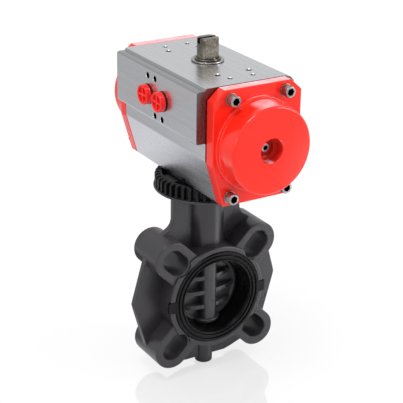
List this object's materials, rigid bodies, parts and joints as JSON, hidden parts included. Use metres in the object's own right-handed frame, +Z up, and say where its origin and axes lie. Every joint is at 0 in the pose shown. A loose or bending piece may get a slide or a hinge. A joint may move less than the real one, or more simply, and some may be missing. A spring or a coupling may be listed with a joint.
{
  "type": "actuated butterfly valve",
  "caption": "Wafer butterfly valve with slotted lugs, rubber liner and ribbed disc, turned a quarter turn by a rack-and-pinion air actuator on its neck.",
  "frame": {"origin": "on the stem axis at the lowest point of the valve, the end of the foot under the barrel", "axes": "+Z up along the stem, Y along the pipe and along the actuator with the front cap at -Y, X across the pipe with the air ports at -X"},
  "size_m": [0.147, 0.2008, 0.3066],
  "materials": {
    "valve_plastic": "satin moulded",
    "liner_rubber": "matt moulded",
    "disc_plastic": "satin moulded",
    "dial_plastic": "satin moulded",
    "stainless": "machined",
    "nickel": "satin nickel plate",
    "seal_rubber": "matt",
    "bush_plastic": "turned",
    "body_anodised": "hard anodised, fine drawn lines",
    "cap_red": "gloss powder coat",
    "plug_red": "gloss moulded",
    "piston_aluminium": "machined"
  },
  "bodies": {
    "housing": {"actuator_body": "body_anodised", "front_cap": "cap_red", "front_cap_screw_1": "stainless", "front_cap_screw_2": "stainless", "front_cap_screw_3": "stainless", "front_cap_screw_4": "stainless", "front_cap_seal": "seal_rubber", "front_cap_washer_1": "stainless", "front_cap_washer_2": "stainless", "front_cap_washer_3": "stainless", "front_cap_washer_4": "stainless", "front_stop_screw": "stainless", "index_disc": "dial_plastic", "liner": "liner_rubber", "mounting_screw_1": "stainless", "mounting_screw_2": "stainless", "mounting_screw_3": "stainless", "mounting_screw_4": "stainless", "pinion_bush_lower": "bush_plastic", "pinion_bush_upper": "bush_plastic", "port_plug_1": "plug_red", "port_plug_2": "plug_red", "port_washer_1": "seal_rubber", "port_washer_2": "seal_rubber", "rear_cap": "cap_red", "rear_cap_screw_1": "stainless", "rear_cap_screw_2": "stainless", "rear_cap_screw_3": "stainless", "rear_cap_screw_4": "stainless", "rear_cap_seal": "seal_rubber", "rear_cap_washer_1": "stainless", "rear_cap_washer_2": "stainless", "rear_cap_washer_3": "stainless", "rear_cap_washer_4": "stainless", "rear_stop_screw": "stainless", "stem_bush_lower": "bush_plastic", "stem_bush_upper": "bush_plastic", "stem_o_ring_1": "seal_rubber", "stem_o_ring_2": "seal_rubber", "stem_retaining_ring": "stainless", "thrust_washer": "stainless", "valve_body": "valve_plastic"},
    "rotor": {"disc": "disc_plastic", "stem": "stainless", "pinion": "nickel", "shaft_clip": "nickel"},
    "front_piston": {"front_piston": "piston_aluminium", "front_piston_seal": "seal_rubber"},
    "rear_piston": {"rear_piston": "piston_aluminium", "rear_piston_seal": "seal_rubber"}
  },
  "joints": [
    {"name": "stem_turn", "type": "hinge", "parent": "housing", "child": "rotor", "pos_m": [0, 0, 0.074], "axis": [0, 0, 1], "range_deg": [0, 90]},
    {"name": "front_piston_slide", "type": "slide", "parent": "housing", "child": "front_piston", "axis": [0, -1, 0], "range_m": [0, 0.02003]},
    {"name": "rear_piston_slide", "type": "slide", "parent": "housing", "child": "rear_piston", "axis": [0, 1, 0], "range_m": [0, 0.02003]}
  ],
  "couplings": [
    {"joint": "front_piston_slide", "follows": "stem_turn", "m_per_rad": 0.01275},
    {"joint": "rear_piston_slide", "follows": "stem_turn", "m_per_rad": 0.01275}
  ]
}
